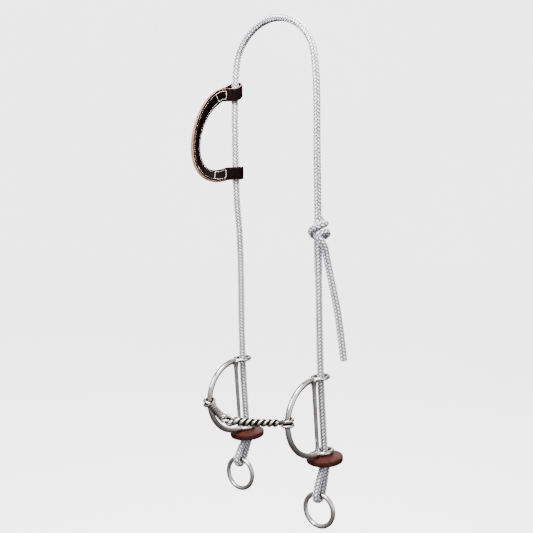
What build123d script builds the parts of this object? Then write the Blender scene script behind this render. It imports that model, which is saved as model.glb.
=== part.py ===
from build123d import *
import os
from math import atan, cos, pi, radians, sin, tan

# Rope headstall with a sliding two-piece twisted-wire mouthpiece (a draw-gag bit), in millimetres.
# The frame: the origin is under the crown of the rope, where it rests on the horse's poll.
# +Z is up, +X is the near side (the horse's left) and -Y is towards the horse's nose.

# ---- driving dimensions ----
ROPE_D = 8.0
SPLICE_D = 9.6
LEG_SPREAD = 135.0
CROWN_R = LEG_SPREAD / 2

CHEEK_LEAN = 5.0
LOOP_Y, LOOP_Z = 10.5, -417.5
LOOP_PITCH = 91.0
CHEEK_DROP = {"near": 4.5, "off": 0.0}
LOOP_LONG, LOOP_WIDE, LOOP_WIRE = 25.4, 21.2, 4.2
BAR_OFFSET, BAR_D = 12.0, 5.0
ARC_D, ARC_BULGE = 6.5, 48.0

MOUTH_DEPTH = 43.5
ARM_LENGTH = 75.5
EYE_R, EYE_WIRE, EYE_PITCH = 6.3, 3.9, 5.9
LINK_R, LINK_WIRE = 4.5, 4.0
STRAND_D, TWIST_R, TWIST_PITCH = 4.6, 2.35, 13.8

STOP_D, STOP_T, STOP_DROOP, STOP_GAP = 45.0, 6.5, 3.5, 0.6
RING_D, RING_WIRE, RING_YAW = 45.0, 5.5, 8.0
EYE_FOLD_R = RING_WIRE / 2 + 0.3 + ROPE_D / 2
EYE_DROP = {"near": 37.5, "off": 29.5}
EYE_TILT = {"near": 16.0, "off": 26.0}
THROAT, THROAT_GAP, EYE_STRAIGHT = 4.15, 5.2, 10.0

EAR_W, EAR_LAYER = 16.0, 2.0
EAR_LOOP_BORE, EAR_LOOP_D, EAR_LOOP_H = 12.7, 17.5, 15.5
EAR_TOP, EAR_BOTTOM = -74.5, -179.0

KNOT_Z, KNOT_TURN_R, KNOT_PITCH = -247.0, 7.9, 9.4

SIDES = {"near": 1, "off": -1}

# ---- the direction that both cheek ropes share, and the fold plane across it ----
DOWN = Vector(0, sin(radians(CHEEK_LEAN)), -cos(radians(CHEEK_LEAN)))
BULGE = Vector(0, -cos(radians(CHEEK_LEAN)), -sin(radians(CHEEK_LEAN)))
UP = DOWN * -1


def on_leg(side, depth, bulge=0.0):
    """A place beside one leg: so far below its upper loop, and so far out on the D's side."""
    top = Vector(SIDES[side] * LEG_SPREAD / 2, LOOP_Y, LOOP_Z) + DOWN * CHEEK_DROP[side]
    return top + DOWN * depth + BULGE * bulge


def save(shape, name):
    """Writes one sub-part and prints its name and volume."""
    shape.label = name
    export_step(shape, f"parts/{name}.step")
    print(name, round(sum(s.volume for s in shape.solids()), 1))


# ---- ropes ----
def rope(points, diameter, name):
    """A plain rope: straight runs joined by arcs as large as the runs allow."""
    runs = [b - a for a, b in zip(points, points[1:])]
    radii = [
        0.45 * min(a.length, b.length) / tan(radians(a.get_angle(b) / 2))
        for a, b in zip(runs, runs[1:])
    ]
    path = FilletPolyline(*points, radius=radii) if radii else Line(*points)
    section = Plane(path @ 0, z_dir=path % 0) * Circle(diameter / 2)
    solid = sweep(section, path=path)
    expected = pi * diameter**2 / 4 * path.length
    print(name, "radii", [round(r) for r in radii], "length", round(path.length, 1))
    print(name, "volume over section times length", round(solid.volume / expected, 4))
    return solid


STOP_DEPTH = LOOP_PITCH + LOOP_WIRE / 2 + STOP_GAP
THROAT_DEPTH = STOP_DEPTH + STOP_T + THROAT_GAP
KINK_DEPTH = -8.0


def crown_points():
    """Six corners round the half circle over the poll, off side first."""
    corner_r = CROWN_R / cos(radians(15))
    lean = [-2.2, -1.5, -0.5, 0.5, 1.2, 1.8]
    return [
        Vector(
            -corner_r * cos(radians(angle)),
            y,
            ROPE_D / 2 - CROWN_R + corner_r * sin(radians(angle)),
        )
        for angle, y in zip(range(15, 180, 30), lean)
    ]


HEADSTALL_ROUTE = [
    on_leg("off", THROAT_DEPTH),
    on_leg("off", KINK_DEPTH),
    Vector(-67.5, 8.3, -262),
    Vector(-67.5, 0.0, -206),
    *crown_points(),
    Vector(67.5, 3.0, -165),
    Vector(67.5, 5.5, -240),
]
SPLICE_ROUTE = [Vector(67.5, 4.6, -256), Vector(67.5, 7.0, -306)]
NEAR_ROUTE = [SPLICE_ROUTE[1], on_leg("near", KINK_DEPTH), on_leg("near", THROAT_DEPTH)]
TAIL_ROUTE = [
    Vector(76.3, 5.6, -255),
    Vector(76.0, 10.4, -277),
    Vector(78.3, 16.6, -305),
    Vector(82.8, 23.5, -342),
    Vector(85.2, 26.0, -368),
    Vector(88.6, 28.8, -402.5),
]


def eye_frame(side):
    """The hanging rope eye's plane: x across its two strands, y up along it."""
    tilt = radians(EYE_TILT[side])
    up = Vector(0, sin(tilt), cos(tilt))
    flat = Vector(0, cos(tilt), -sin(tilt))
    yaw = radians(RING_YAW)
    across = flat * cos(yaw) + up.cross(flat) * sin(yaw)
    return Plane(origin=on_leg(side, THROAT_DEPTH), x_dir=across, z_dir=across.cross(up))


def ring_wire(side):
    """The middle of the ring's wire where the rope eye holds it."""
    return eye_frame(side).from_local_coords(Vector(0, -EYE_DROP[side], 0))


def rope_eye(side):
    """A doubled rope that hangs from the stop and folds once round the rein ring's wire."""
    knee, floor = EYE_STRAIGHT - EYE_DROP[side], -EYE_DROP[side] - EYE_FOLD_R
    half = EYE_FOLD_R + 0.02
    left = [(-THROAT, 0), (-half, knee), (-half, floor)]
    right = [(-x, y) for x, y in reversed(left)]
    frame = eye_frame(side)
    points = [frame.from_local_coords(Vector(x, y, 0)) for x, y in left + right]
    spread = atan((half - THROAT) / -knee)
    knee_r = 0.45 * EYE_STRAIGHT / tan(spread / 2)
    path = FilletPolyline(*points, radius=[knee_r, EYE_FOLD_R, EYE_FOLD_R, knee_r])
    section = Plane(path @ 0, z_dir=path % 0) * Circle(ROPE_D / 2)
    print(side, "rope eye length", round(path.length, 1))
    return sweep(section, path=path)


def knot_turn(height, tilt):
    """One turn of the overhand knot, drawn tight round the standing rope."""
    ring = Torus(KNOT_TURN_R, ROPE_D / 2 - 0.1)
    return Pos(68.0, 6.0, KNOT_Z + height) * Rot(tilt, -tilt / 2, 0) * ring


# ---- cheeks ----
def cheek_frame(side):
    """The D's plane: origin in the upper loop, x out along the bulge, y up the rope."""
    return Plane(origin=on_leg(side, 0), x_dir=BULGE, z_dir=Vector(-1, 0, 0))


def cheek_arc(side):
    """The round rod of the D, half a circle between two short straight ends."""
    radius = LOOP_PITCH / 2
    ends = ARC_BULGE - radius
    start, turn = BAR_OFFSET, BAR_OFFSET + ends
    path = Wire(
        [
            Line((start, 0), (turn, 0)),
            CenterArc((turn, -radius), radius, 90, -180),
            Line((turn, -LOOP_PITCH), (start, -LOOP_PITCH)),
        ]
    )
    section = Plane(origin=(start, 0), z_dir=(1, 0, 0)) * Circle(ARC_D / 2)
    return cheek_frame(side) * sweep(section, path=path)


def cheek_bar(side):
    """The thin straight rod of the D, beside the rope."""
    rod = Cylinder(BAR_D / 2, LOOP_PITCH, rotation=(90, 0, 0))
    return cheek_frame(side) * Pos(BAR_OFFSET, -LOOP_PITCH / 2, 0) * rod


def cheek_loop(side, depth):
    """An oval loop across the rope, which slides on it."""
    long_r = (LOOP_LONG - LOOP_WIRE) / 2
    wide_r = (LOOP_WIDE - LOOP_WIRE) / 2
    path = Ellipse(long_r, wide_r).edge()
    section = Plane(path @ 0, z_dir=path % 0) * Circle(LOOP_WIRE / 2)
    ring = sweep(section, path=path)
    place = Plane(origin=on_leg(side, depth), x_dir=BULGE, z_dir=UP)
    return place * ring


# ---- mouthpiece ----
HINGE_BULGE = BAR_OFFSET + ARC_BULGE
FOLD_DEPTH = (ARM_LENGTH**2 - (LEG_SPREAD / 2) ** 2) ** 0.5
JOINT = Vector(0, LOOP_Y, LOOP_Z) + DOWN * MOUTH_DEPTH + BULGE * (HINGE_BULGE + FOLD_DEPTH)


def hinge_centre(side):
    """The middle of the D's rod where an arm turns: both are level, though one D hangs lower."""
    return on_leg(side, MOUTH_DEPTH - CHEEK_DROP[side], HINGE_BULGE)


def arm_frame(side):
    """One arm's frame: origin on the D's rod, x towards the middle joint, z up."""
    hinge = hinge_centre(side)
    return Plane(origin=hinge, x_dir=(JOINT - hinge).normalized(), z_dir=UP)


def cheek_eye(side):
    """Two turns of wire, one above the other, round the D's rod."""
    turn = Torus(EYE_R, EYE_WIRE / 2)
    turns = Pos(0, 0, EYE_PITCH / 2) * turn + Pos(0, 0, -EYE_PITCH / 2) * turn
    return arm_frame(side) * turns


def centre_eye(side):
    """One half of the middle joint: an upright ring on the near arm, a flat one on the off arm."""
    ring = Torus(LINK_R, LINK_WIRE / 2)
    flat = Pos(ARM_LENGTH, 0, 0) * ring
    upright = Pos(ARM_LENGTH - LINK_R, 0, 0) * Rot(90, 0, 0) * ring
    return arm_frame(side) * (upright if side == "near" else flat)


def strand(side, turn):
    """One of the two wires that are twisted together along an arm."""
    start = EYE_R
    reach = 2 * LINK_R if side == "near" else LINK_R
    length = ARM_LENGTH - reach - 0.5 - start
    path = Helix(TWIST_PITCH, length, TWIST_R, lefthand=True)
    section = Plane(path @ 0, z_dir=path % 0) * Circle(STRAND_D / 2)
    wire = sweep(section, path=path, is_frenet=True)
    return arm_frame(side) * Pos(start, 0, 0) * Rot(0, 90, 0) * Rot(0, 0, turn) * wire


# ---- stops and rein rings ----
def stop(side):
    """A dished leather washer, high in the middle, that the D's lower loop rests on."""
    bore, rim = ROPE_D / 2 + 0.3, STOP_D / 2
    middle = (bore + rim) / 2
    sag = STOP_DROOP * (middle / rim) ** 2
    top = ThreePointArc((bore, 0), (middle, -sag), (rim, -STOP_DROOP))
    edge = Line((rim, -STOP_DROOP), (rim - 0.6, -STOP_DROOP - STOP_T))
    under = ThreePointArc(
        (rim - 0.6, -STOP_DROOP - STOP_T), (middle, -sag - STOP_T), (bore, -STOP_T)
    )
    wall = Line((bore, -STOP_T), (bore, 0))
    face = make_face([top, edge, under, wall])
    disc = revolve(Plane.XZ * face, axis=Axis.Z)
    return Plane(origin=on_leg(side, STOP_DEPTH), x_dir=(1, 0, 0), z_dir=UP) * disc


def rein_ring(side):
    """A round wire ring that hangs upright in the rope eye."""
    radius = (RING_D - RING_WIRE) / 2
    ring = Rot(0, 0, RING_YAW) * Rot(90, 0, 0) * Torus(radius, RING_WIRE / 2)
    return Pos(ring_wire(side) - Vector(0, 0, radius)) * ring


# ---- ear ----
EAR_SLIDE = (HEADSTALL_ROUTE[4] - HEADSTALL_ROUTE[3]).normalized()
EAR_OUT = Vector(-1, -1, 0).normalized()


def ear_centre(z):
    """The place on the off leg's straight stretch at a height."""
    low = HEADSTALL_ROUTE[3]
    return low + EAR_SLIDE * ((z - low.Z) / EAR_SLIDE.Z)


def ear_loop(z):
    """A strap end turned back round the rope."""
    tube = Cylinder(EAR_LOOP_D / 2, EAR_LOOP_H) - Cylinder(EAR_LOOP_BORE / 2, EAR_LOOP_H)
    return Plane(origin=ear_centre(z), x_dir=EAR_OUT, z_dir=EAR_SLIDE) * tube


def ear_layer(outward):
    """One of the two layers of the strap that curves out round the horse's ear."""
    normal = EAR_OUT.cross(Vector(0, 0, 1))
    frame = Plane(origin=ear_centre(0), x_dir=EAR_OUT, z_dir=normal)
    sign = frame.y_dir.Z
    start = EAR_LOOP_D / 2 - 0.6
    path = Bezier(
        (start, sign * EAR_TOP),
        (56, sign * -87),
        (70, sign * -202),
        (start, sign * EAR_BOTTOM),
    )
    across = Plane(path @ 0, x_dir=(0, 0, 1), z_dir=path % 0)
    side = 1 if (across.y_dir.Y * sign > 0) == outward else -1
    section = across * Pos(0, side * EAR_LAYER / 2, 0) * Rectangle(EAR_W, EAR_LAYER)
    return frame * sweep(section, path=path)


os.makedirs("parts", exist_ok=True)
save(rope(HEADSTALL_ROUTE, ROPE_D, "headstall_rope"), "headstall_rope")
save(rope(SPLICE_ROUTE, SPLICE_D, "upper_splice"), "upper_splice")
save(rope(NEAR_ROUTE, ROPE_D, "near_lower_rope"), "near_lower_rope")
save(rope(TAIL_ROUTE, ROPE_D, "rope_tail"), "rope_tail")
save(knot_turn(KNOT_PITCH / 2, 14), "knot_upper_turn")
save(knot_turn(-KNOT_PITCH / 2, -12), "knot_lower_turn")
save(ear_layer(True), "ear_outer_layer")
save(ear_layer(False), "ear_lining")
save(ear_loop(EAR_TOP), "ear_upper_loop")
save(ear_loop(EAR_BOTTOM), "ear_lower_loop")
for side in SIDES:
    save(rope_eye(side), f"{side}_rope_eye")
    save(cheek_arc(side), f"{side}_cheek_arc")
    save(cheek_bar(side), f"{side}_cheek_bar")
    save(cheek_loop(side, 0), f"{side}_upper_loop")
    save(cheek_loop(side, LOOP_PITCH), f"{side}_lower_loop")
    save(cheek_eye(side), f"{side}_cheek_eye")
    save(centre_eye(side), f"{side}_centre_eye")
    save(strand(side, 0), f"{side}_arm_strand_a")
    save(strand(side, 180), f"{side}_arm_strand_b")
    save(stop(side), f"{side}_stop")
    save(rein_ring(side), f"{side}_rein_ring")
print("up", UP, "joint", JOINT)
for side in SIDES:
    print(side, "hinge", hinge_centre(side), "stop", on_leg(side, STOP_DEPTH))
    print(side, "ring wire", ring_wire(side))
print("ear slide", EAR_SLIDE)
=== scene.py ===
import math

import bpy
import numpy as np
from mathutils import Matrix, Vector


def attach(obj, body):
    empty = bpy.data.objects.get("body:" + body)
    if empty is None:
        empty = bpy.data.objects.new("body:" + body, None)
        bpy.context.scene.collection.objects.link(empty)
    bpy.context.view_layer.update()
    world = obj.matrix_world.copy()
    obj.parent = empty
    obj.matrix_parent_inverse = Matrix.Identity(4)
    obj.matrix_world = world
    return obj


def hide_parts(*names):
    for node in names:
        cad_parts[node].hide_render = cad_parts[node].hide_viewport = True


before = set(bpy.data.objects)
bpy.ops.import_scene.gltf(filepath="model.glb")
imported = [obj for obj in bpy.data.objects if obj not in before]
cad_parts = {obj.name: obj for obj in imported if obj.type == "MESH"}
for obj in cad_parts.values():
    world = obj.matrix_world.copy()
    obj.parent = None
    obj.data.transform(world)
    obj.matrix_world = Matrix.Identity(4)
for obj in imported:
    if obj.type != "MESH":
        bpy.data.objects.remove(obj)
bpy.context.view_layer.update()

# ---- the part's driving sizes, in metres ----
ROPE_D = 0.008
SPLICE_D = 0.0096
LEG_X = 0.0675
LOOP_Y, LOOP_Z = 0.0105, -0.4175
LOOP_PITCH = 0.091
LOOP_LONG_R, LOOP_WIDE_R, LOOP_WIRE_R = 0.0106, 0.0085, 0.0021
BAR_OFFSET, BAR_R = 0.012, 0.0025
ARC_R, ARC_BULGE = 0.00325, 0.048
MOUTH_DEPTH, ARM_LENGTH = 0.0435, 0.0755
CHEEK_DROP = {"near": 0.0045, "off": 0.0}
EYE_R, EYE_RISE = 0.0063, 0.00295
LINK_R = 0.0045
STRAND_FULL, STRAND_OFF = 0.00265, 0.0021
STOP_R, STOP_T, STOP_DROOP, STOP_GAP = 0.0225, 0.0065, 0.0035, 0.0006
THROAT, THROAT_GAP, EYE_STRAIGHT = 0.00415, 0.0052, 0.010
EYE_HALF = 0.00707
EYE_DROP = {"near": 0.0375, "off": 0.0295}
EYE_TILT = {"near": math.radians(16), "off": math.radians(26)}
EYE_YAW = math.radians(8)
EAR_W, EAR_LAYER = 0.016, 0.002
STOP_DEPTH = LOOP_PITCH + LOOP_WIRE_R + STOP_GAP
THROAT_DEPTH = STOP_DEPTH + STOP_T + THROAT_GAP
KINK_DEPTH = -0.008

SIDES = {"near": 1, "off": -1}
LEAN = math.radians(5)
UP = Vector((0, -math.sin(LEAN), math.cos(LEAN)))
BULGE = Vector((0, -math.cos(LEAN), -math.sin(LEAN)))
VIEW_AZIMUTH, VIEW_ELEVATION = math.radians(45.22), math.radians(4.26)
RIGHT = Vector((math.cos(VIEW_AZIMUTH), math.sin(VIEW_AZIMUTH), 0))
FRONT = Vector((math.sin(VIEW_AZIMUTH), -math.cos(VIEW_AZIMUTH), 0))


def on_leg(side, depth, bulge=0.0):
    """A place beside one leg: so far below its upper loop, and so far out on the D's side."""
    top = Vector((SIDES[side] * LEG_X, LOOP_Y, LOOP_Z)) - UP * CHEEK_DROP[side]
    return top - UP * depth + BULGE * bulge


# ---- camera, light and floor ----
CAMERA_LENS, SENSOR_WIDTH, CAMERA_DISTANCE = 55.07, 36.0, 0.9959
TARGET_HEIGHT, TARGET_LEFT, LIGHTS_HEIGHT = -0.29349, 0.00847, -0.3
STAGE_FAR, STAGE_LOW, STAGE_GLOW, STAGE_SIDES = 9.0, -0.95, 3.2, 48


def make_camera():
    """Looks at the object from the front of its near side, a little above the middle."""
    back = FRONT * math.cos(VIEW_ELEVATION) + Vector((0, 0, math.sin(VIEW_ELEVATION)))
    target = Vector((0, 0, TARGET_HEIGHT)) - RIGHT * TARGET_LEFT
    camera = bpy.data.objects.new("camera", bpy.data.cameras.new("camera"))
    camera.data.lens, camera.data.sensor_width = CAMERA_LENS, SENSOR_WIDTH
    camera.location = target + back * CAMERA_DISTANCE
    camera.rotation_euler = (-back).to_track_quat("-Z", "Y").to_euler()
    bpy.context.scene.collection.objects.link(camera)
    bpy.context.scene.camera = camera


def area_light(name, direction, distance, size, power):
    """A soft square light that faces the middle of the object."""
    middle = Vector((0, 0, LIGHTS_HEIGHT))
    light = bpy.data.objects.new(name, bpy.data.lights.new(name, "AREA"))
    light.data.size, light.data.energy = size, power
    light.location = middle + direction.normalized() * distance
    light.rotation_euler = (-direction).to_track_quat("-Z", "Y").to_euler()
    bpy.context.scene.collection.objects.link(light)


def unlit_stage(name, points, faces):
    """A pale glowing surface behind or under the object that throws no light or shadow on it."""
    mesh = bpy.data.meshes.new(name)
    mesh.from_pydata(points, [], faces)
    made = bpy.data.objects.new(name, mesh)
    bpy.context.scene.collection.objects.link(made)
    pale, nodes, links, shader = new_material(name + "_paint")
    cloud = noise(nodes, links, object_space(nodes, links), scale=0.4)
    tone = ramp(nodes, links, cloud, [(0.3, (0.97, 0.97, 0.97)), (0.7, WHITE)])
    links.new(tone, shader.inputs["Emission Color"])
    shader.inputs["Base Color"].default_value = (0.9, 0.9, 0.9, 1)
    shader.inputs["Emission Strength"].default_value = STAGE_GLOW
    mesh.materials.append(pale)
    made.visible_diffuse = made.visible_glossy = made.visible_shadow = False


def make_stage():
    """A pale floor, and a round backdrop with a flat top."""
    far, low, sides = STAGE_FAR, STAGE_LOW, STAGE_SIDES
    corners = [(-far, -far, low), (far, -far, low), (far, far, low), (-far, far, low)]
    unlit_stage("floor", corners, [(0, 1, 2, 3)])
    angles = np.linspace(0, 2 * math.pi, sides + 1)[:-1]
    points = [(far * math.cos(a), far * math.sin(a), z) for z in (low, far) for a in angles]
    after = [(i + 1) % sides for i in range(sides)]
    wall = [(i, j, sides + j, sides + i) for i, j in enumerate(after)]
    top = [(sides + i, sides + j, 2 * sides) for i, j in enumerate(after)]
    unlit_stage("backdrop", points + [(0, 0, far)], wall + top)


def make_world():
    """White light from all round, stronger from the front and from above."""
    world = bpy.data.worlds.new("studio")
    world.use_nodes = True
    nodes, links = world.node_tree.nodes, world.node_tree.links
    where = node(nodes, "ShaderNodeTexCoord")
    split = node(nodes, "ShaderNodeSeparateXYZ")
    links.new(where.outputs["Generated"], split.inputs["Vector"])
    height = node(nodes, "ShaderNodeMapRange", {"From Min": -1.0})
    links.new(split.outputs["Z"], height.inputs["Value"])
    sky = ramp(
        nodes,
        links,
        height.outputs["Result"],
        [(0.1, (0.1, 0.095, 0.09)), (0.45, (0.35, 0.34, 0.34)), (0.75, (1.1, 1.1, 1.1))],
    )
    links.new(sky, nodes["Background"].inputs["Color"])
    facing = node(nodes, "ShaderNodeVectorMath", operation="DOT_PRODUCT")
    facing.inputs[1].default_value = FRONT
    links.new(where.outputs["Generated"], facing.inputs[0])
    spread = node(
        nodes,
        "ShaderNodeMapRange",
        {"From Min": -0.1, "From Max": 0.6, "To Min": 0.45, "To Max": 1.5},
    )
    links.new(facing.outputs["Value"], spread.inputs["Value"])
    links.new(spread.outputs["Result"], nodes["Background"].inputs["Strength"])
    bpy.context.scene.world = world


def make_studio():
    """The floor and backdrop, the light from all round, and four soft lights."""
    make_stage()
    make_world()
    up = Vector((0, 0, 1))
    area_light("key", FRONT - RIGHT * 0.9 + up * 0.9, distance=1.6, size=0.7, power=36)
    area_light("fill", FRONT * 0.8 + RIGHT * 1.2 + up * 0.1, distance=1.8, size=1.2, power=10)
    area_light("back", -FRONT + RIGHT * 0.2 + up * 0.5, distance=1.8, size=1.0, power=16)
    area_light("crown", FRONT * 0.45 + up, distance=0.6, size=0.3, power=10)


# ---- materials ----
WHITE = (1, 1, 1)


def new_material(name):
    """An empty material, its nodes, its links and its shader."""
    made = bpy.data.materials.new(name)
    made.use_nodes = True
    tree = made.node_tree
    return made, tree.nodes, tree.links, tree.nodes["Principled BSDF"]


def node(nodes, kind, values=None, **settings):
    """One shader node with its unlinked values and its settings."""
    made = nodes.new(kind)
    for key, value in (values or {}).items():
        made.inputs[key].default_value = value
    for key, value in settings.items():
        setattr(made, key, value)
    return made


def object_space(nodes, links, scale=(1, 1, 1)):
    """Object coordinates, scaled in each direction."""
    where = node(nodes, "ShaderNodeTexCoord")
    mapping = node(nodes, "ShaderNodeMapping", {"Scale": scale})
    links.new(where.outputs["Object"], mapping.inputs["Vector"])
    return mapping.outputs["Vector"]


def noise(nodes, links, vector, scale, detail=3.0):
    """Soft three-dimensional noise between 0 and 1."""
    made = node(nodes, "ShaderNodeTexNoise", {"Scale": scale, "Detail": detail})
    links.new(vector, made.inputs["Vector"])
    return made.outputs["Fac"]


def ramp(nodes, links, factor, stops):
    """Colours along a factor: (position, (red, green, blue)) pairs."""
    made = node(nodes, "ShaderNodeValToRGB")
    band = made.color_ramp.elements
    while len(band) < len(stops):
        band.new(0.5)
    for element, (position, colour) in zip(band, stops):
        element.position = position
        element.color = (*colour, 1)
    links.new(factor, made.inputs["Fac"])
    return made.outputs["Color"]


def multiplied(nodes, links, a, b):
    """Two colours multiplied together."""
    made = node(nodes, "ShaderNodeMix", {0: 1.0}, data_type="RGBA", blend_type="MULTIPLY")
    links.new(a, made.inputs[6])
    links.new(b, made.inputs[7])
    return made.outputs[2]


def attribute(nodes, name):
    """A number stored on the mesh's points."""
    return node(nodes, "ShaderNodeAttribute", attribute_name=name).outputs["Fac"]


def bump(nodes, links, height, strength, distance):
    """A normal from a height."""
    made = node(nodes, "ShaderNodeBump", {"Strength": strength, "Distance": distance})
    links.new(height, made.inputs["Height"])
    return made.outputs["Normal"]


def rope_material():
    """White nylon braid with painted shade darkening its crevices, and fine yarn along each strand.
    """
    made, nodes, links, shader = new_material("rope_braid")
    place = object_space(nodes, links)
    # Painted shade: the braid's height darkens the base colour nearly to black in the crevices and
    # leaves the lumps white.
    crevice_shade = ramp(
        nodes,
        links,
        attribute(nodes, "lump"),
        [(0.2, (0.035, 0.034, 0.05)), (0.56, (0.24, 0.233, 0.28)), (0.84, (0.9, 0.89, 0.94))],
    )
    cloud = noise(nodes, links, place, scale=90)
    stain = ramp(nodes, links, cloud, [(0.3, (0.86, 0.86, 0.88)), (0.7, WHITE)])
    links.new(multiplied(nodes, links, crevice_shade, stain), shader.inputs["Base Color"])
    yarn = noise(nodes, links, place, scale=2600, detail=2.0)
    yarn_normal = bump(nodes, links, yarn, strength=0.35, distance=0.0003)
    links.new(yarn_normal, shader.inputs["Normal"])
    shader.inputs["Roughness"].default_value = 0.62
    shader.inputs["Sheen Weight"].default_value = 0.25
    return made


def metal_material():
    """Satin nickel: warm grey and brushed a little, with painted shade in its hollows and in the
    grooves between the twisted strands.
    """
    made, nodes, links, shader = new_material("satin_nickel")
    place = object_space(nodes, links)
    cloud = noise(nodes, links, place, scale=60)
    metal = ramp(nodes, links, cloud, [(0.3, (0.56, 0.5, 0.465)), (0.7, (0.72, 0.665, 0.63))])
    # Painted shade: ambient occlusion darkens the base colour in the hollows.
    hollow = node(nodes, "ShaderNodeAmbientOcclusion", {"Distance": 0.005}, samples=8)
    shades = [(0.35, (0.02, 0.017, 0.015)), (0.85, WHITE)]
    shade = ramp(nodes, links, hollow.outputs["AO"], shades)
    # Painted shade: the grooves between the twisted strands are darkened nearly to black.
    gap_shade_stops = [(0.0, WHITE), (1.0, (0.02, 0.018, 0.016))]
    gap_shading = ramp(nodes, links, attribute(nodes, "gap_shade"), gap_shade_stops)
    shaded_metal = multiplied(nodes, links, metal, shade)
    links.new(multiplied(nodes, links, shaded_metal, gap_shading), shader.inputs["Base Color"])
    rough = node(nodes, "ShaderNodeMapRange", {"To Min": 0.16, "To Max": 0.3})
    links.new(noise(nodes, links, place, scale=140), rough.inputs["Value"])
    links.new(rough.outputs["Result"], shader.inputs["Roughness"])
    upright = object_space(nodes, links, (1, 1, 0.15))
    brushing = noise(nodes, links, upright, scale=1800, detail=2.0)
    brushed = bump(nodes, links, brushing, strength=0.08, distance=0.0002)
    links.new(brushed, shader.inputs["Normal"])
    shader.inputs["Metallic"].default_value = 1.0
    shader.inputs["Specular Tint"].default_value = (0.12, 0.1, 0.09, 1)
    return made


def leather_material(name, dark, light, rough, grain_scale, shine):
    """Grained leather, darker where the wear attribute is high."""
    made, nodes, links, shader = new_material(name)
    place = object_space(nodes, links)
    cloud = noise(nodes, links, place, scale=120)
    face = ramp(nodes, links, cloud, [(0.3, dark), (0.75, light)])
    worn = ramp(nodes, links, attribute(nodes, "wear"), [(0.0, WHITE), (1.0, (0.35, 0.3, 0.3))])
    links.new(multiplied(nodes, links, face, worn), shader.inputs["Base Color"])
    pores = node(nodes, "ShaderNodeTexVoronoi", {"Scale": grain_scale})
    links.new(place, pores.inputs["Vector"])
    grained = bump(nodes, links, pores.outputs["Distance"], strength=0.3, distance=0.0003)
    links.new(grained, shader.inputs["Normal"])
    shader.inputs["Roughness"].default_value = rough
    shader.inputs["Specular IOR Level"].default_value = shine
    return made


def edge_material():
    """Raw cut leather: tan fibres in bands along the edge."""
    made, nodes, links, shader = new_material("cut_edge")
    place = object_space(nodes, links, (1, 1, 0.25))
    bands = noise(nodes, links, place, scale=900)
    fibre = ramp(nodes, links, bands, [(0.3, (0.22, 0.09, 0.062)), (0.7, (0.42, 0.2, 0.145))])
    links.new(fibre, shader.inputs["Base Color"])
    fuzz = noise(nodes, links, place, scale=1600)
    fuzzy = bump(nodes, links, fuzz, strength=0.4, distance=0.0003)
    links.new(fuzzy, shader.inputs["Normal"])
    shader.inputs["Roughness"].default_value = 0.8
    return made


def thread_material():
    """Waxed off-white stitching thread."""
    made, nodes, links, shader = new_material("stitch_thread")
    fibres = noise(nodes, links, object_space(nodes, links), scale=1500)
    colour = ramp(nodes, links, fibres, [(0.3, (0.5, 0.44, 0.4)), (0.7, (0.72, 0.66, 0.6))])
    links.new(colour, shader.inputs["Base Color"])
    shader.inputs["Roughness"].default_value = 0.7
    return made


# ---- mesh tools ----
OFF_AXIS = [0.31, 0.17, 0.93]


def share(values, start, run):
    """0 up to the start, 1 after the run, and even in between."""
    return np.clip((values - start) / run, 0, 1)


def eased(step):
    """A step from 0 to 1 that starts and ends gently."""
    return step * step * (3 - 2 * step)


def spline_line(route):
    """The smooth line of a route: a NURBS spline whose control points are the route's."""
    curve = bpy.data.curves.new("line", "CURVE")
    curve.dimensions = "3D"
    spline = curve.splines.new("NURBS")
    spline.points.add(len(route) - 1)
    for point, place in zip(spline.points, route):
        point.co = (*place, 1)
    spline.order_u = 3
    spline.use_endpoint_u = True
    spline.resolution_u = 24
    holder = bpy.data.objects.new("line", curve)
    mesh = bpy.data.meshes.new_from_object(holder)
    line = np.array([vertex.co[:] for vertex in mesh.vertices])
    bpy.data.objects.remove(holder)
    bpy.data.curves.remove(curve)
    bpy.data.meshes.remove(mesh)
    return line


def along(line):
    """The distance of each point from the line's start."""
    steps = np.linalg.norm(np.diff(line, axis=0), axis=1)
    return np.concatenate([[0], np.cumsum(steps)])


def spaced(line, step):
    """The same line with its points evenly spaced."""
    distance = along(line)
    count = max(2, round(distance[-1] / step) + 1)
    want = np.linspace(0, distance[-1], count)
    return np.stack([np.interp(want, distance, line[:, axis]) for axis in range(3)], axis=1)


def turned(vectors, axes, angles):
    """Vectors turned round unit axes that are at right angles to them."""
    return vectors * np.cos(angles)[:, None] + np.cross(axes, vectors) * np.sin(angles)[:, None]


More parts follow.
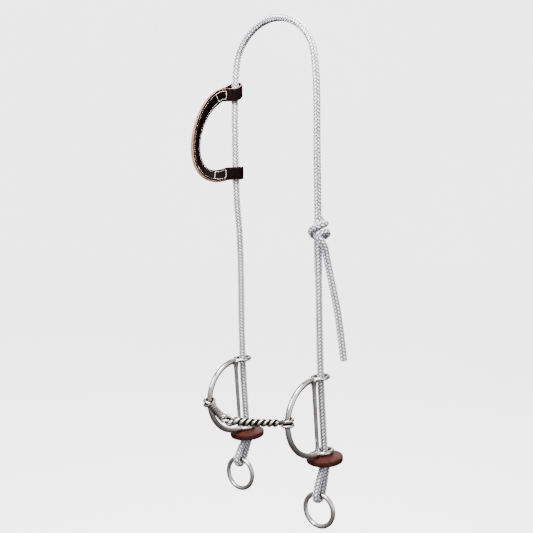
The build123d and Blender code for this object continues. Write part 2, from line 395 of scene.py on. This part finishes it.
def swept(line, radius, around, closed=False):
    """Points and faces of a tube. radius is a number, one per ring, or one per point."""
    count = len(line)
    if closed:
        tangents = np.roll(line, -1, axis=0) - np.roll(line, 1, axis=0)
    else:
        tangents = np.gradient(line, axis=0)
    tangents /= np.linalg.norm(tangents, axis=1)[:, None]
    side = np.cross(tangents[0], OFF_AXIS)
    sides = [side / np.linalg.norm(side)]
    for tangent in tangents[1:]:
        side = sides[-1] - tangent * np.dot(sides[-1], tangent)
        sides.append(side / np.linalg.norm(side))
    sides = np.array(sides)
    if closed:
        last = sides[-1] - tangents[0] * np.dot(sides[-1], tangents[0])
        slip = math.atan2(np.dot(np.cross(last, sides[0]), tangents[0]), np.dot(last, sides[0]))
        sides = turned(sides, tangents, np.linspace(0, slip, count))
    others = np.cross(tangents, sides)
    angles = np.arange(around) * 2 * math.pi / around
    spokes = (
        sides[:, None, :] * np.cos(angles)[None, :, None]
        + others[:, None, :] * np.sin(angles)[None, :, None]
    )
    radii = radius if np.ndim(radius) == 2 else np.reshape(radius, (-1, 1))
    radii = np.broadcast_to(radii, (count, around))
    points = (line[:, None, :] + spokes * radii[:, :, None]).reshape(-1, 3)
    rings = np.arange(count if closed else count - 1)[:, None]
    here, ahead = rings * around, (rings + 1) % count * around
    spots = np.arange(around)[None, :]
    beside = (spots + 1) % around
    corners = [here + spots, here + beside, ahead + beside, ahead + spots]
    faces = np.stack(corners, axis=2).reshape(-1, 4).tolist()
    if not closed:
        start, end = len(points), len(points) + 1
        points = np.concatenate([points, line[:1], line[-1:]])
        last = (count - 1) * around
        for spoke in range(around):
            following = (spoke + 1) % around
            faces.append((start, following, spoke))
            faces.append((end, last + spoke, last + following))
    return points, faces


def make_piece(name, points, faces, material, body, slot, replaced=()):
    """A smooth mesh piece that rides on a body and stands for CAD nodes."""
    mesh = bpy.data.meshes.new(name)
    mesh.from_pydata(np.asarray(points).tolist(), [], faces)
    mesh.shade_smooth()
    for each in material if isinstance(material, list) else [material]:
        mesh.materials.append(each)
    piece = bpy.data.objects.new(name, mesh)
    bpy.context.scene.collection.objects.link(piece)
    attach(piece, body)
    if replaced:
        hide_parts(*replaced)
    return piece


def store(piece, name, values):
    """Keeps one number per point for the piece's material."""
    layer = piece.data.attributes.new(name, "FLOAT", "POINT")
    layer.data.foreach_set("value", np.asarray(values, dtype=np.float32).ravel())


def joined(shells):
    """Several tubes as one list of points and one of faces."""
    points, faces, base = [], [], 0
    for shell_points, shell_faces in shells:
        points.append(shell_points)
        faces.extend(tuple(corner + base for corner in face) for face in shell_faces)
        base += len(shell_points)
    return np.concatenate(points), faces


def fused(piece, voxel, smoothing):
    """Turns overlapping shells into one skin with soft fillets where they meet."""
    skin = piece.modifiers.new("skin", "REMESH")
    skin.mode, skin.voxel_size = "VOXEL", voxel
    skin.use_smooth_shade = True
    soften = piece.modifiers.new("soften", "SMOOTH")
    soften.factor, soften.iterations = 0.5, smoothing
    materials = list(piece.data.materials)
    ready = piece.evaluated_get(bpy.context.evaluated_depsgraph_get())
    mesh = bpy.data.meshes.new_from_object(ready)
    piece.modifiers.clear()
    piece.data = mesh
    if not mesh.materials:
        for each in materials:
            mesh.materials.append(each)


# ---- ropes ----
STRANDS, LUMP_PITCH, LUMP_HEIGHT, LUMP_PROUD = 6, 0.0041, 0.00085, 0.00035
ROPE_STEP, ROPE_AROUND, ROPE_DOME, PATH_SKIP = 0.0005, 48, 0.0022, 4
MELT_RUN, MELT_PROUD, MELT_LUMP, END_LUMP = 0.004, 0.0004, 0.55, 0.4
EYE_TOP, EYE_NECK, NECK_SHIFT, TOP_SHIFT, RING_PLAY = 0.0032, -0.006, 0.001, 0.0012, 0.00002
STOP_BELOW, BEND_ABOVE = 0.006, {"near": 0.03, "off": 0.025}
CROWN_LEAN = (-0.0022, -0.0015, -0.0005, 0.0005, 0.0012, 0.0018)
SPLICE_END, SPLICE_TAPER = -0.294, 0.008
KNOT_MIDDLE, MM = Vector((LEG_X, 0.006, -0.247)), 0.001
# Angle in degrees from the picture's right, distance and height in millimetres
KNOT_WRAPS = [
    (290, 2.5, 14),
    (300, 5.0, 10),
    (335, 8.4, 7),
    (20, 8.8, 7),
    (85, 8.4, 4.6),
    (150, 8.6, 1.5),
    (200, 8.8, -4),
    (250, 8.6, -9),
    (310, 8.8, -9),
    (350, 10.2, -6.5),
    (20, 11.2, -2.6),
    (62, 10.0, -2.4),
    (95, 8.8, -6.5),
    (72, 9.6, -13),
    (42, 9.6, -20),
]
TAIL_POINTS = [
    (0.0760, 0.0104, -0.277),
    (0.0783, 0.0166, -0.305),
    (0.0828, 0.0235, -0.342),
    (0.0852, 0.0260, -0.368),
    (0.0886, 0.0288, -0.4025),
]


def braid(distance, angle):
    """The braid's height from 0 to 1: two families of strands, each over two and under two."""
    one = STRANDS * angle / (2 * math.pi) + distance / LUMP_PITCH
    other = STRANDS * angle / (2 * math.pi) - distance / LUMP_PITCH
    first_over = (np.floor(one) + np.floor(other)) % 4 < 2
    across = np.where(first_over, one, other) % 1
    reach = np.where(first_over, (np.floor(one) + other) % 4, (one + np.floor(other)) % 4 - 2) / 2
    return np.sqrt(1 - (2 * across - 1) ** 2) * (1 - np.abs(2 * reach - 1) ** 3)


def braided_rope(name, route, replaced, diameter_at=None, sealed=False):
    """A braided tube along a route."""
    line = spaced(spline_line(route), ROPE_STEP)
    distance = along(line)
    radius = np.full(len(line), ROPE_D / 2)
    if diameter_at:
        radius = np.array([diameter_at(place) for place in line]) / 2
    angle = np.arange(ROPE_AROUND) * 2 * math.pi / ROPE_AROUND
    lump = braid(distance[:, None], angle[None, :])
    radii = radius[:, None] + LUMP_PROUD - LUMP_HEIGHT * (1 - lump)
    left = distance[-1] - distance
    if sealed:
        melt = np.clip(1 - left / MELT_RUN, 0, 1)[:, None]
        radii = radii * (1 - melt) + (radius[:, None] + MELT_PROUD) * melt
        lump = lump * (1 - melt) + MELT_LUMP * melt
    for gap in (left,) if sealed else (left, distance):
        shrink = np.sqrt(np.clip(1 - (1 - share(gap, 0, ROPE_DOME)) ** 2, 0.02, 1))
        radii = radii * shrink[:, None]
    points, faces = swept(line, radii, ROPE_AROUND)
    piece = make_piece(name, points, faces, ROPE, "headstall", "rope", replaced)
    # The braid's height, which the rope material turns into painted shade in the crevices.
    store(piece, "lump", np.concatenate([lump.ravel(), [END_LUMP, END_LUMP]]))


def eye_route(side):
    """The rope eye's points, from its free strand's top down round the ring to the other strand."""
    tilt = EYE_TILT[side]
    up = Vector((0, math.sin(tilt), math.cos(tilt)))
    flat = Vector((0, math.cos(tilt), -math.sin(tilt)))
    across = flat * math.cos(EYE_YAW) + up.cross(flat) * math.sin(EYE_YAW)
    throat = on_leg(side, THROAT_DEPTH)
    knee, floor = EYE_STRAIGHT - EYE_DROP[side], -EYE_DROP[side] - EYE_HALF + RING_PLAY
    local = [
        (THROAT + TOP_SHIFT, EYE_TOP),
        (THROAT + NECK_SHIFT, EYE_NECK),
        (EYE_HALF, knee),
        (EYE_HALF, floor),
        (-EYE_HALF, floor),
        (-EYE_HALF, knee),
        (-THROAT + NECK_SHIFT, EYE_NECK),
    ]
    return [throat + across * x + up * y for x, y in local]


def crown_route():
    """Six corners round the half circle over the poll, off side first."""
    corner = LEG_X / math.cos(math.radians(15))
    turn = [math.radians(angle) for angle in range(15, 180, 30)]
    return [
        Vector((-corner * math.cos(a), y, ROPE_D / 2 - LEG_X + corner * math.sin(a)))
        for a, y in zip(turn, CROWN_LEAN)
    ]


def leg_points(side, places):
    """Points in the leg's own plane, from their (y, z) pairs."""
    return [Vector((SIDES[side] * LEG_X, y, z)) for y, z in places]


def splice_diameter(place):
    """The near rope's diameter: thick along the splice, and tapering at its end."""
    taper = np.clip((SPLICE_END - place[2]) / SPLICE_TAPER, 0, 1)
    return SPLICE_D - (SPLICE_D - ROPE_D) * taper


def make_crown_rope():
    """The rope from the off eye, up through the D and ear and over the poll, to the knot."""
    route = [
        *eye_route("off"),
        on_leg("off", THROAT_DEPTH - STOP_BELOW),
        on_leg("off", THROAT_DEPTH - BEND_ABOVE["off"]),
        on_leg("off", KINK_DEPTH),
        *leg_points("off", [(0.0083, -0.262), (0.0, -0.206)]),
        *crown_route(),
        *leg_points("near", [(0.003, -0.165), (0.0055, -0.24)]),
    ]
    braided_rope("crown_rope", route, ["headstall_rope", "off_rope_eye"])


def make_near_rope():
    """The rope from the knot, with its splice, down through the D to the near eye."""
    route = [
        *leg_points("near", [(0.005, -0.236), (0.0046, -0.256), (0.007, -0.306)]),
        on_leg("near", KINK_DEPTH),
        on_leg("near", THROAT_DEPTH - BEND_ABOVE["near"]),
        on_leg("near", THROAT_DEPTH - STOP_BELOW),
        *reversed(eye_route("near")),
    ]
    braided_rope(
        "near_rope",
        route,
        ["upper_splice", "near_lower_rope", "near_rope_eye"],
        diameter_at=splice_diameter,
    )


def make_knot():
    """The rope that wraps round both ends as a knot and leaves it as the sealed tail."""
    route = []
    for angle, radius, height in KNOT_WRAPS:
        turn = math.radians(angle)
        spoke = RIGHT * math.cos(turn) + FRONT * math.sin(turn)
        route.append(KNOT_MIDDLE + spoke * radius * MM + Vector((0, 0, height * MM)))
    route += [Vector(point) for point in TAIL_POINTS]
    braided_rope(
        "knot_and_tail",
        route,
        ["knot_upper_turn", "knot_lower_turn", "rope_tail"],
        sealed=True,
    )


# ---- the metal ----
SKIN = 0.00015
ROD_INSET, ROD_THIN, ROD_THIN_RUN = 0.002, 0.0006, 0.004
BAR_TAPER, BAR_FLARE, BAR_FLARE_RUN = 0.0004, 0.0018, 0.006
WEB_R, TOP_WEB, LOW_WEB, LOOP_SWELL = 0.0019, 0.0045, 0.006, 0.0006
CHEEK_VOXEL, ARM_VOXEL = 0.0005, 0.0004


def cheek_rod(side):
    """The D's round rod, a little thinner towards the bar."""
    radius = LOOP_PITCH / 2
    turn = BAR_OFFSET + ARC_BULGE - radius
    rod = [on_leg(side, 0, BAR_OFFSET - ROD_INSET)]
    for angle in np.linspace(math.pi / 2, -math.pi / 2, 73):
        depth, bulge = radius - radius * math.sin(angle), turn + radius * math.cos(angle)
        rod.append(on_leg(side, depth, bulge))
    rod.append(on_leg(side, LOOP_PITCH, BAR_OFFSET - ROD_INSET))
    rod = spaced(np.array([place[:] for place in rod]), 0.001)
    ends = np.minimum(along(rod), along(rod)[-1] - along(rod))
    return swept(rod, ARC_R + SKIN - ROD_THIN * np.exp(-ends / ROD_THIN_RUN), around=32)


def cheek_bar(side):
    """The D's thin bar, tapering downwards and flared at both ends."""
    bar = np.array([on_leg(side, depth, BAR_OFFSET)[:] for depth in np.linspace(0, LOOP_PITCH, 93)])
    distance = along(bar)
    ends = np.minimum(distance, LOOP_PITCH - distance)
    radius = BAR_R + SKIN - BAR_TAPER * distance / LOOP_PITCH
    return swept(bar, radius + BAR_FLARE * np.exp(-((ends / BAR_FLARE_RUN) ** 2)), around=24)


def cheek_web(side, depth, inward, size):
    """A curved fillet between the rod and the bar."""
    web = []
    for angle in np.linspace(0, math.pi / 2, 14):
        out, rise = size * (1 - math.cos(angle)), size * (1 - math.sin(angle))
        web.append(on_leg(side, depth + inward * rise, BAR_OFFSET + out)[:])
    return swept(np.array(web), WEB_R, around=16)


def cheek_loop(side, depth):
    """An oval loop, thicker where it meets the rod."""
    angles = np.linspace(0, 2 * math.pi, 96, endpoint=False)
    ring = []
    for angle in angles:
        place = on_leg(side, depth, LOOP_LONG_R * math.cos(angle))
        ring.append((place + Vector((LOOP_WIDE_R * math.sin(angle), 0, 0)))[:])
    near_rod = (1 + np.cos(angles)) / 2
    radius = LOOP_WIRE_R + SKIN + LOOP_SWELL * near_rod**3
    return swept(np.array(ring), radius, around=24, closed=True)


def make_cheek(side):
    """The D, its bar and its two loops, brazed into one piece with fillets."""
    shells = [cheek_rod(side), cheek_bar(side)]
    for depth, inward, size in ((0, 1, TOP_WEB), (LOOP_PITCH, -1, LOW_WEB)):
        shells += [cheek_web(side, depth, inward, size), cheek_loop(side, depth)]
    piece = make_piece(
        f"{side}_cheek",
        *joined(shells),
        METAL,
        f"{side}_cheek",
        "cheek_steel",
        [f"{side}_cheek_arc", f"{side}_cheek_bar", f"{side}_upper_loop", f"{side}_lower_loop"],
    )
    fused(piece, CHEEK_VOXEL, smoothing=4)


GAP_RIM, GAP_STEP, ARM_SAG = {"near": 0.0046, "off": 0.0042}, 0.0005, 0.0018
TWIST_START, TWIST_PHASE, HALF_TURNS = 0.010, 45, 8
LINK_REACH, LINK_OVAL, LINK_WIRE_R, EYE_WIRE_R = 0.0055, 1.25, 0.0021, 0.002
SWELL_START, SWELL_RUN, SWELL, SPREAD_RUN, SPREAD = 0.045, 0.025, 0.15, 0.03, 0.25
LINK_START, EYE_END, WIRE_RUN = ARM_LENGTH - 0.012, 0.0085, 0.006
# Where the painted shade in the grooves between the twisted strands starts and ends along the arm.
GAP_SHADE_START, GAP_SHADE_RISE, GAP_SHADE_END, GAP_SHADE_FALL = 0.011, 0.002, ARM_LENGTH - 0.010, 0.003


def arm_line(side):
    """One closed wire: strand, two turns round the D's rod, strand, and the middle eye."""
    centre = ARM_LENGTH - LINK_R if side == "near" else ARM_LENGTH
    run = centre - LINK_REACH - TWIST_START
    turns = (180 * HALF_TURNS - SIDES[side] * TWIST_PHASE) / 360

    def helix(step, opposite):
        x = TWIST_START + run * step
        turn = math.radians(TWIST_PHASE) - 2 * math.pi * turns * step + (math.pi if opposite else 0)
        offset = STRAND_OFF * (1 + SPREAD * max(0, (x - SWELL_START) / SPREAD_RUN))
        return (x, offset * math.cos(turn), offset * math.sin(turn))

    steps = np.linspace(0, 1, 90)
    coil = []
    for turn in range(90, 631, 15):
        fall = min(1.0, max(0.0, (turn - 270) / 180))
        angle = math.radians(turn)
        rise = EYE_RISE * math.cos(math.pi * fall)
        coil.append((EYE_R * math.cos(angle), EYE_R * math.sin(angle), rise))
    link = []
    for turn in range(-110, 111, 15):
        angle = math.radians(turn)
        x, y = centre + LINK_R * math.cos(angle), LINK_R * math.sin(angle)
        link.append((x, 0, LINK_OVAL * y) if side == "near" else (x, y, 0))
    back = [helix(step, False) for step in steps[::-1]]
    forth = [helix(step, True) for step in steps]
    return spaced(spline_line([*back, *coil, *forth, *link, back[0]]), 0.0005)


def arm_sag(reach):
    """How far an arm hangs below its straight line, so far out from the D."""
    return ARM_SAG * np.sin(math.pi * np.clip(reach / ARM_LENGTH, 0, 1))


def wire_radius(reach):
    """The wire's radius: thinner in both eyes, and thicker along the twist's inner half."""
    twist = STRAND_FULL * (1 + SWELL * share(reach, SWELL_START, SWELL_RUN))
    in_link = share(reach, LINK_START, WIRE_RUN)
    radius = twist * (1 - in_link) + LINK_WIRE_R * in_link
    return EYE_WIRE_R + (radius - EYE_WIRE_R) * share(reach, EYE_END, WIRE_RUN)


def twist_gap_shade(side, places, axes):
    """Where the shade is painted: 1 in the groove between the twisted strands, and 0 on the strands
    and the eyes.
    """
    reach, across, up = (places @ axes.T).T
    up = up + arm_sag(reach)
    between = share(GAP_RIM[side] - np.hypot(across, up), 0, GAP_STEP)
    twisted = share(reach, GAP_SHADE_START, GAP_SHADE_RISE) * share(GAP_SHADE_END - reach, 0, GAP_SHADE_FALL)
    return between * twisted


def make_arm(side):
    """One mouthpiece arm of twisted wire, in its place between the D and the middle."""
    bulge = BAR_OFFSET + ARC_BULGE
    hinge = on_leg(side, MOUTH_DEPTH - CHEEK_DROP[side], bulge)
    fold = math.sqrt(ARM_LENGTH**2 - LEG_X**2)
    middle = Vector((0, LOOP_Y, LOOP_Z)) - UP * MOUTH_DEPTH + BULGE * (bulge + fold)
    x_axis = (middle - hinge).normalized()
    axes = np.array([x_axis[:], UP.cross(x_axis)[:], UP[:]])
    local = arm_line(side)[:-1]
    line = local @ axes + np.array(hinge[:]) - arm_sag(local[:, :1]) * np.array(UP[:])
    replaced = ("cheek_eye", "centre_eye", "arm_strand_a", "arm_strand_b")
    piece = make_piece(
        f"{side}_mouthpiece_arm",
        *swept(line, wire_radius(local[:, 0]), around=20, closed=True),
        METAL,
        f"{side}_arm",
        "mouthpiece_steel",
        [f"{side}_{name}" for name in replaced],
    )
    fused(piece, ARM_VOXEL, smoothing=2)
    places = np.array([vertex.co[:] for vertex in piece.data.vertices]) - np.array(hinge[:])
    # Painted shade for the grooves between the twisted strands.
    store(piece, "gap_shade", twist_gap_shade(side, places, axes))


# ---- leather stops and rein rings ----
STOP_PLAY, STOP_AROUND, STOP_WAVE = 0.0004, 96, 0.00022
TOP_INSET, TOP_WORN, LOW_INSET = 0.0009, 0.00015, 0.0012


def stop_profile():
    """Radius, height and wear round the washer's section: over the top, down the rim and back."""
    bore, rim, low = ROPE_D / 2 + STOP_PLAY, STOP_R, -STOP_DROOP - STOP_T
    profile = []
    for step in np.linspace(0, 1, 16):
        radius = bore + (rim - TOP_INSET - bore) * step
        height = -STOP_DROOP * (radius / rim) ** 2 - TOP_WORN * step
        profile.append((radius, height, 0.25 * step**6))
    profile += [
        (rim - 0.0003, -STOP_DROOP - 0.0004, 0.9),
        (rim, -STOP_DROOP - 0.0012, 0.6),
        (rim - 0.0001, -STOP_DROOP - 0.0026, 0.35),
        (rim - 0.0003, low + 0.0012, 0.5),
        (rim - 0.0006, low + 0.0004, 0.8),
        (rim - LOW_INSET, low, 0.9),
    ]
    for step in np.linspace(0, 1, 12)[1:]:
        radius = rim - LOW_INSET - (rim - LOW_INSET - bore) * step
        height = -STOP_DROOP * (radius / rim) ** 2 - STOP_T
        profile.append((radius, height, 0.3 * (1 - step) ** 4))
    return profile


def make_stop(side):
    """A thick leather washer with rounded, slightly uneven edges."""
    profile = stop_profile()
    place, points, wear = on_leg(side, STOP_DEPTH), [], []
    right = Vector((1, 0, 0))
    back = UP.cross(right)
    for spoke in range(STOP_AROUND):
        angle = 2 * math.pi * spoke / STOP_AROUND
        out = right * math.cos(angle) + back * math.sin(angle)
        wave = math.sin(3 * angle + 0.6) + 0.6 * math.sin(7 * angle + 2.0 * SIDES[side])
        for radius, height, dark in profile:
            dent = STOP_WAVE * (radius / STOP_R) ** 3 * (1 + wave / 1.6)
            points.append(place + out * (radius - dent) + UP * height)
            wear.append(dark)
    rings = len(profile)
    faces = []
    for spoke in range(STOP_AROUND):
        here, there = spoke * rings, (spoke + 1) % STOP_AROUND * rings
        for step in range(rings):
            nxt = (step + 1) % rings
            faces.append((here + step, here + nxt, there + nxt, there + step))
    name = f"{side}_stop"
    piece = make_piece(
        f"{side}_leather_stop", points, faces, STOP_LEATHER, name, "stop_leather", [name]
    )
    store(piece, "wear", wear)


def finish_ring(side):
    """The rein ring keeps its CAD shape and takes the satin metal."""
    ring = bpy.data.objects[f"{side}_rein_ring"]
    for place in ring.material_slots:
        place.material = METAL
    if not ring.material_slots:
        ring.data.materials.append(METAL)


# ---- the ear ----
EAR_OUT = Vector((-1, -1, 0)).normalized()
EAR_BACK = EAR_OUT.cross(Vector((0, 0, 1)))
EAR_LOW = Vector((-LEG_X, 0, -0.206))
EAR_SLIDE = Vector((0, -0.013698, 0.999906))
EAR_START, EAR_TOP, EAR_MIDDLE, EAR_BOTTOM, EAR_MEET = 0.0082, -0.078, -0.13, -0.179, 0.0185
EAR_HANDLES = [(EAR_START, EAR_TOP), (0.0545, -0.088), (0.069, -0.202), (EAR_START, EAR_BOTTOM)]
WRAP_R, WRAP_LONG, WRAP_JOIN = 0.0066, 0.0093, 0.014
UPPER_SLOPE, LOWER_SLOPE, UPPER_SHEAR = -0.17, -0.06, 0.9
TWIST, TWIST_POWER, LEVEL_RUN, EAR_BEVEL = math.radians(59), 0.65, 0.12, 0.0004
UPPER_BOX, LOWER_BOX, BOX_STEPS = (0.008, 0.1), (0.992, 0.9), 240
STITCH_EDGE, STITCH_RISE, BOX_THREAD, ROW_THREAD = EAR_W / 2 - 0.003, 0.0003, 0.00042, 0.00023
BOX_STITCH, ROW_STITCH = 0.78, 0.55


def ear_centre(z):
    """The rope's middle at a height on the off leg's straight stretch."""
    return EAR_LOW + EAR_SLIDE * ((z - EAR_LOW.z) / EAR_SLIDE.z)


def ear_frames(count):
    """Places along the strap with its width and its outward face, twisting towards the middle."""
    base = ear_centre(0)
    frames = []
    for t in np.linspace(0, 1, count):
        s = 1 - t
        weights = (s**3, 3 * s * s * t, 3 * s * t * t, t**3)
        out = sum(w * h[0] for w, h in zip(weights, EAR_HANDLES))
        z = sum(w * h[1] for w, h in zip(weights, EAR_HANDLES))
        slopes = (-3 * s * s, 3 * s * s - 6 * s * t, 6 * s * t - 3 * t * t, 3 * t * t)
        run = sum(w * h[0] for w, h in zip(slopes, EAR_HANDLES))
        fall = sum(w * h[1] for w, h in zip(slopes, EAR_HANDLES))
        tangent = (EAR_OUT * run + Vector((0, 0, fall))).normalized()
        level = min(1, t / LEVEL_RUN, s / LEVEL_RUN) ** 2
        outward = (EAR_OUT * -fall * level + Vector((0, 0, run))).normalized()
        twist = TWIST * math.sin(math.pi * t) ** TWIST_POWER
        width = outward * math.cos(twist) - EAR_BACK * math.sin(twist)
        place = base + EAR_OUT * out + Vector((0, 0, z))
        frames.append((place, width, tangent.cross(width).normalized()))
    return frames


def strip(name, frames, material, slot, replaced):
    """A leather strip along frames: smooth faces, and raw cut edges on both sides."""
    half, top = EAR_W / 2, (EAR_LAYER - 0.0001) / 2
    low, flat, side = -top, half - EAR_BEVEL, top - EAR_BEVEL
    across = [(-flat, 0.2), (-half / 2, 0.0), (half / 2, 0.0), (flat, 0.2)]
    outline = [(x, low, dark) for x, dark in across]
    outline += [(half, -side, 0.0), (half, side, 0.0)]
    outline += [(x, top, dark) for x, dark in reversed(across)]
    outline += [(-half, side, 0.0), (-half, -side, 0.0)]
    edge_faces = {3, 4, 5, 9, 10, 11}
    rim = len(outline)
    points = [p + w * x + n * y for p, w, n in frames for x, y, _ in outline]
    wear = [dark for _ in frames for _, _, dark in outline]
    faces, kinds = [], []
    for step in range(len(frames) - 1):
        for corner in range(rim):
            nxt = (corner + 1) % rim
            base, ahead = step * rim, (step + 1) * rim
            faces.append((base + corner, base + nxt, ahead + nxt, ahead + corner))
            kinds.append(1 if corner in edge_faces else 0)
    faces += [tuple(range(rim))[::-1], tuple((len(frames) - 1) * rim + i for i in range(rim))]
    kinds += [1, 1]
    piece = make_piece(name, points, faces, [material, CUT_EDGE], "ear", slot, replaced)
    for face, kind in zip(piece.data.polygons, kinds):
        face.material_index = kind
    store(piece, "wear", wear)


def wrap_frames(end, slope, shear):
    """The strap's inner layer from beside the rope, round it and back to the outer layer."""
    half = EAR_LAYER / 2
    line = [(-WRAP_LONG * math.cos(a), WRAP_R * math.sin(a)) for a in np.radians(range(-90, 91, 6))]
    for step in np.linspace(0, 1, 12)[1:]:
        line.append((WRAP_JOIN * step, half + (WRAP_R - half) * (1 - eased(step))))
    frames = []
    for (x, y), (run, side) in zip(line, np.gradient(np.array(line), axis=0)):
        lift = slope * (x - EAR_START) + shear * math.copysign(max(0, abs(y) - half), y)
        place = ear_centre(end) + EAR_OUT * x + EAR_BACK * y + EAR_SLIDE * lift
        ahead = (EAR_OUT * float(run) + EAR_BACK * float(side)).normalized()
        frames.append((place, EAR_SLIDE, ahead.cross(EAR_SLIDE)))
    return frames


def inner_spread(place):
    """How far the inner layer stands off the strap's middle, and how far it has run down."""
    out = (place - ear_centre(0)).dot(EAR_OUT)
    half, step = EAR_LAYER / 2, min(1.0, max(0.0, (EAR_MEET - out) / EAR_MEET))
    spread = half + (WRAP_R - half) * eased(step)
    return spread, UPPER_SHEAR * (spread - half) if place.z > EAR_MIDDLE else 0.0


def inner_layer():
    """The inner layer's whole run: round the rope, along the ear, and round the rope again."""
    upper = wrap_frames(EAR_TOP, UPPER_SLOPE, UPPER_SHEAR)[::-1]
    lower = wrap_frames(EAR_BOTTOM, LOWER_SLOPE, 0.0)
    upper = [(place, width, normal * -1) for place, width, normal in upper]
    lower = [(place, width * -1, normal * -1) for place, width, normal in lower]
    curve = []
    for place, width, normal in ear_frames(121):
        spread, shear = inner_spread(place)
        curve.append((place - normal * spread - EAR_SLIDE * shear, width, normal))
    return upper + curve + lower


def stitch(start, end, normal, portion, thread):
    """One thread stitch: a small rounded bead that dips into the leather at both ends."""
    run, middle = end - start, (start + end) / 2
    step = run.normalized() * (run.length * portion)
    rise = normal * STITCH_RISE
    line = [middle + step * s + rise * (1 - 5 * s * s) for s in np.linspace(-0.5, 0.5, 5)]
    radius = thread * np.array([0.55, 0.95, 1, 0.95, 0.55])
    return swept(np.array([place[:] for place in line]), radius, around=6)


def on_face(frame_at, face, row):
    """A place on the strap's outer face (1) or inner face (-1), so far across its width."""
    place, width, normal = frame_at
    if face > 0:
        return place + width * row + normal * EAR_LAYER
    spread, shear = inner_spread(place)
    return place + width * row - normal * (spread + EAR_LAYER / 2) - EAR_SLIDE * shear


def strap_stitches():
    """Two rows along both faces of the curve, from box to box."""
    frames, shells = ear_frames(67), []
    for here, after in list(zip(frames, frames[1:]))[7:-7]:
        for row in (-STITCH_EDGE, STITCH_EDGE):
            for face in (-1, 1):
                ends = on_face(here, face, row), on_face(after, face, row)
                shells.append(stitch(*ends, here[2] * face, ROW_STITCH, ROW_THREAD))
    return shells


def box_stitches(first, last):
    """The stitched box that holds a strap end, on both faces, between two shares of the strap."""
    frames, shells = ear_frames(BOX_STEPS + 1), []
    start, end = round(first * BOX_STEPS), round(last * BOX_STEPS)
    steps = np.linspace(start, end, 6).round().astype(int)
    for face in (-1, 1):
        normal = frames[(start + end) // 2][2] * face
        loop = [on_face(frames[at], face, -STITCH_EDGE) for at in steps]
        loop += [on_face(frames[end], face, STITCH_EDGE * side) for side in (-0.5, 0, 0.5)]
        loop += [on_face(frames[at], face, STITCH_EDGE) for at in steps[::-1]]
        loop += [on_face(frames[start], face, STITCH_EDGE * side) for side in (0.5, 0, -0.5)]
        for ends in zip(loop, loop[1:] + loop[:1]):
            shells.append(stitch(*ends, normal, BOX_STITCH, BOX_THREAD))
    return shells


def make_ear():
    """The ear's outer layer, its inner layer that wraps the rope, and the stitching."""
    half = EAR_LAYER / 2
    outer = [(place + normal * half, width, normal) for place, width, normal in ear_frames(121)]
    strip("ear_strap_outer", outer, EAR_LEATHER, "ear_leather", ["ear_outer_layer"])
    strip(
        "ear_strap_inner",
        inner_layer(),
        LINING,
        "ear_lining_leather",
        ["ear_lining", "ear_upper_loop", "ear_lower_loop"],
    )
    shells = strap_stitches() + box_stitches(*UPPER_BOX) + box_stitches(*LOWER_BOX)
    make_piece("ear_stitching", *joined(shells), THREAD, "ear", "ear_leather")


ROPE, METAL = rope_material(), metal_material()
CUT_EDGE, THREAD = edge_material(), thread_material()
STOP_LEATHER = leather_material(
    "stop_leather",
    dark=(0.042, 0.0102, 0.0072),
    light=(0.074, 0.018, 0.0132),
    rough=0.55,
    grain_scale=700,
    shine=0.12,
)
EAR_LEATHER = leather_material(
    "ear_leather",
    dark=(0.0015, 0.0004, 0.0005),
    light=(0.006, 0.0012, 0.0016),
    rough=0.6,
    grain_scale=900,
    shine=0.04,
)
LINING = leather_material(
    "ear_lining",
    dark=(0.001, 0.0003, 0.0004),
    light=(0.005, 0.001, 0.0013),
    rough=0.65,
    grain_scale=600,
    shine=0.03,
)
make_camera()
make_studio()
make_crown_rope()
make_near_rope()
make_knot()
make_ear()
for side in SIDES:
    make_cheek(side)
    make_arm(side)
    make_stop(side)
    finish_ring(side)
